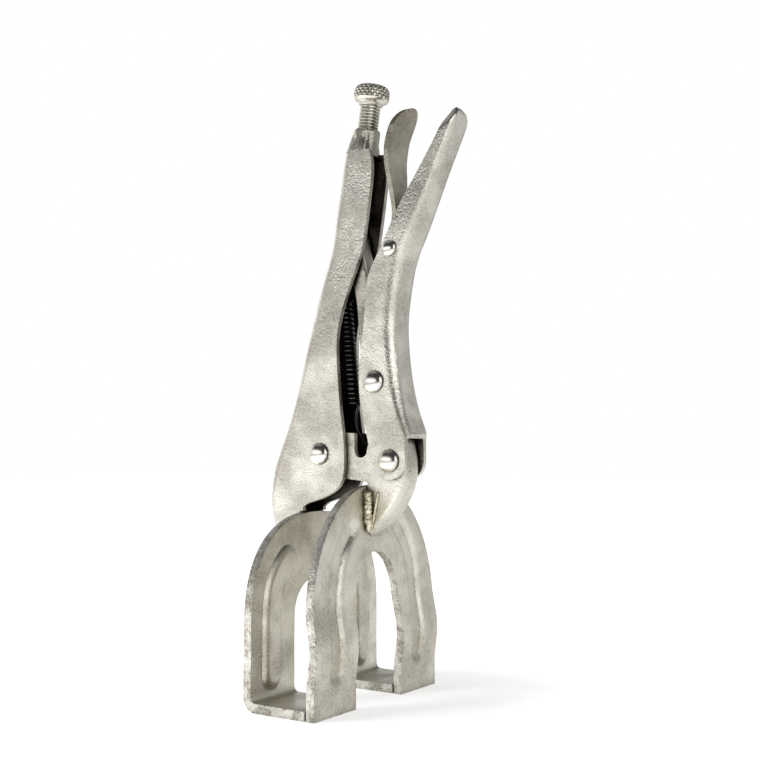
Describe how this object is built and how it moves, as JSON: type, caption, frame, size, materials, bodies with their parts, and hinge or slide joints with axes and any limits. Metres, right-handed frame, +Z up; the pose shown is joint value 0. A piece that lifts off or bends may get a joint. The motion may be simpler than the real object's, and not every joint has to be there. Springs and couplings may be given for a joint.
{
  "type": "locking welding clamp",
  "caption": "Locking welding clamp with two wide U-shaped jaws, toggle handles, a spring, a release lever and a knurled adjusting screw.",
  "frame": {"origin": "centre of the tool's bounding box, under the jaw feet", "axes": "+Z up the tool from the jaw feet to the adjusting screw, +X from the fixed jaw to the moving jaw, +Y across the tool"},
  "size_m": [0.1004, 0.096, 0.2809],
  "materials": {
    "nickel_plate": "satin nickel plate over pressed steel",
    "bright_steel": "polished rivet steel",
    "weld_metal": "rough plated weld bead",
    "black_spring_steel": "black oiled spring wire"
  },
  "bodies": {
    "fixed": {"fixed_handle": "nickel_plate", "fixed_jaw": "nickel_plate", "fixed_jaw_weld_near": "weld_metal", "fixed_jaw_weld_far": "weld_metal", "screw_bush": "nickel_plate", "jaw_rivet": "bright_steel", "spring": "black_spring_steel"},
    "jaw": {"jaw_bracket": "nickel_plate", "moving_jaw": "nickel_plate", "moving_jaw_weld_near": "weld_metal", "moving_jaw_weld_far": "weld_metal", "spring_pin": "bright_steel", "handle_rivet": "bright_steel"},
    "handle": {"moving_handle": "nickel_plate", "toggle_rivet": "bright_steel", "lever_rivet": "bright_steel"},
    "link": {"toggle_link": "nickel_plate"},
    "lever": {"release_lever": "nickel_plate"},
    "screw": {"adjusting_screw": "nickel_plate"}
  },
  "joints": [
    {"name": "jaw_pivot", "type": "hinge", "parent": "fixed", "child": "jaw", "pos_m": [-0.02037, 0, 0.1094], "axis": [0, -1, 0], "range_deg": [0, 20], "deforming": ["spring"]},
    {"name": "handle_pivot", "type": "hinge", "parent": "jaw", "child": "handle", "pos_m": [0.01753, 0, 0.1062], "axis": [0, -1, 0], "range_deg": [-61, 0]},
    {"name": "toggle_pivot", "type": "hinge", "parent": "handle", "child": "link", "pos_m": [0.00953, 0, 0.1413], "axis": [0, -1, 0], "range_deg": [0, 61]},
    {"name": "lever_pivot", "type": "hinge", "parent": "handle", "child": "lever", "pos_m": [0.01783, 0, 0.2002], "axis": [0, 1, 0], "range_deg": [0, 8]},
    {"name": "screw_slide", "type": "slide", "parent": "fixed", "child": "screw", "axis": [0.1478, 0, 0.989], "range_m": [0, 0.008]}
  ],
  "couplings": [
    {"joint": "handle_pivot", "follows": "jaw_pivot", "ratio": -3.0292},
    {"joint": "toggle_pivot", "follows": "jaw_pivot", "ratio": 3.0305}
  ]
}
